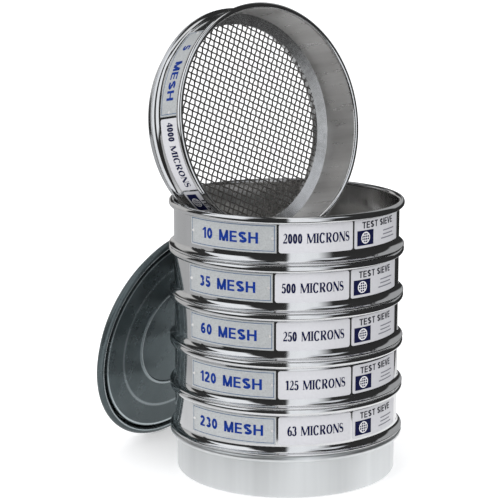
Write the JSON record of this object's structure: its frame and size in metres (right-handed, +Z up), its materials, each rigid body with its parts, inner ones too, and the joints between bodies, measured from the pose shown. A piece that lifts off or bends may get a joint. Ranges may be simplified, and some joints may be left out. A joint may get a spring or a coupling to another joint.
{
  "type": "soil sieve set",
  "caption": "Stack of round steel test sieves on a receiving pan, with one more sieve standing on edge in the top one and a lid leaning on the side, for grading soil by grain size.",
  "frame": {"origin": "centre of the receiving pan's underside", "axes": "+Z up along the stack's axis, -Y towards the front, where the nameplates meet the second labels"},
  "size_m": [0.2832, 0.2775, 0.4257],
  "materials": {
    "polished_steel": "polished, mirror-like",
    "brushed_steel": "brushed round the axis",
    "pan_steel": "fine matte brushed",
    "lid_steel": "satin, dark reflection",
    "wire_cloth": "woven bright wire",
    "nameplate": "satin with a printed blue border",
    "micron_label": "satin silver film",
    "maker_label": null,
    "rivets": "plain"
  },
  "bodies": {
    "pan": {"pan_wall": "pan_steel", "pan_floor": "pan_steel"},
    "sieve_230": {"sieve_230_frame": "polished_steel", "sieve_230_skirt": "brushed_steel", "sieve_230_clamp_ring": "brushed_steel", "sieve_230_cloth": "wire_cloth", "sieve_230_nameplate": "nameplate", "sieve_230_micron_label": "micron_label", "sieve_230_maker_label": "maker_label", "sieve_230_rivets": "rivets"},
    "sieve_120": {"sieve_120_frame": "polished_steel", "sieve_120_skirt": "brushed_steel", "sieve_120_clamp_ring": "brushed_steel", "sieve_120_cloth": "wire_cloth", "sieve_120_nameplate": "nameplate", "sieve_120_micron_label": "micron_label", "sieve_120_maker_label": "maker_label", "sieve_120_rivets": "rivets"},
    "sieve_60": {"sieve_60_frame": "polished_steel", "sieve_60_skirt": "brushed_steel", "sieve_60_clamp_ring": "brushed_steel", "sieve_60_cloth": "wire_cloth", "sieve_60_nameplate": "nameplate", "sieve_60_micron_label": "micron_label", "sieve_60_maker_label": "maker_label", "sieve_60_rivets": "rivets"},
    "sieve_35": {"sieve_35_frame": "polished_steel", "sieve_35_skirt": "brushed_steel", "sieve_35_clamp_ring": "brushed_steel", "sieve_35_cloth": "wire_cloth", "sieve_35_nameplate": "nameplate", "sieve_35_micron_label": "micron_label", "sieve_35_maker_label": "maker_label", "sieve_35_rivets": "rivets"},
    "sieve_10": {"sieve_10_frame": "polished_steel", "sieve_10_skirt": "brushed_steel", "sieve_10_clamp_ring": "brushed_steel", "sieve_10_cloth": "wire_cloth", "sieve_10_nameplate": "nameplate", "sieve_10_micron_label": "micron_label", "sieve_10_maker_label": "maker_label", "sieve_10_rivets": "rivets"},
    "sieve_5": {"sieve_5_frame": "polished_steel", "sieve_5_skirt": "brushed_steel", "sieve_5_clamp_ring": "brushed_steel", "sieve_5_cloth": "wire_cloth", "sieve_5_nameplate": "nameplate", "sieve_5_micron_label": "micron_label", "sieve_5_maker_label": "maker_label", "sieve_5_rivets": "rivets"},
    "lid": {"lid": "lid_steel"}
  },
  "joints": [
    {"name": "lift_230", "type": "slide", "parent": "pan", "child": "sieve_230", "axis": [0, 0, 1], "range_m": [0, 0.04]},
    {"name": "lift_120", "type": "slide", "parent": "sieve_230", "child": "sieve_120", "axis": [0, 0, 1], "range_m": [0, 0.04]},
    {"name": "lift_60", "type": "slide", "parent": "sieve_120", "child": "sieve_60", "axis": [0, 0, 1], "range_m": [0, 0.04]},
    {"name": "lift_35", "type": "slide", "parent": "sieve_60", "child": "sieve_35", "axis": [0, 0, 1], "range_m": [0, 0.04]},
    {"name": "lift_10", "type": "slide", "parent": "sieve_35", "child": "sieve_10", "axis": [0, 0, 1], "range_m": [0, 0.04]},
    {"name": "lift_5", "type": "slide", "parent": "sieve_10", "child": "sieve_5", "axis": [0, 0, 1], "range_m": [0, 0.12]},
    {"name": "tip_lid", "type": "hinge", "parent": "pan", "child": "lid", "pos_m": [-0.12288, 0.10126, 0.00375], "axis": [-0.6374, -0.7705, 0], "range_deg": [0, 60]}
  ]
}
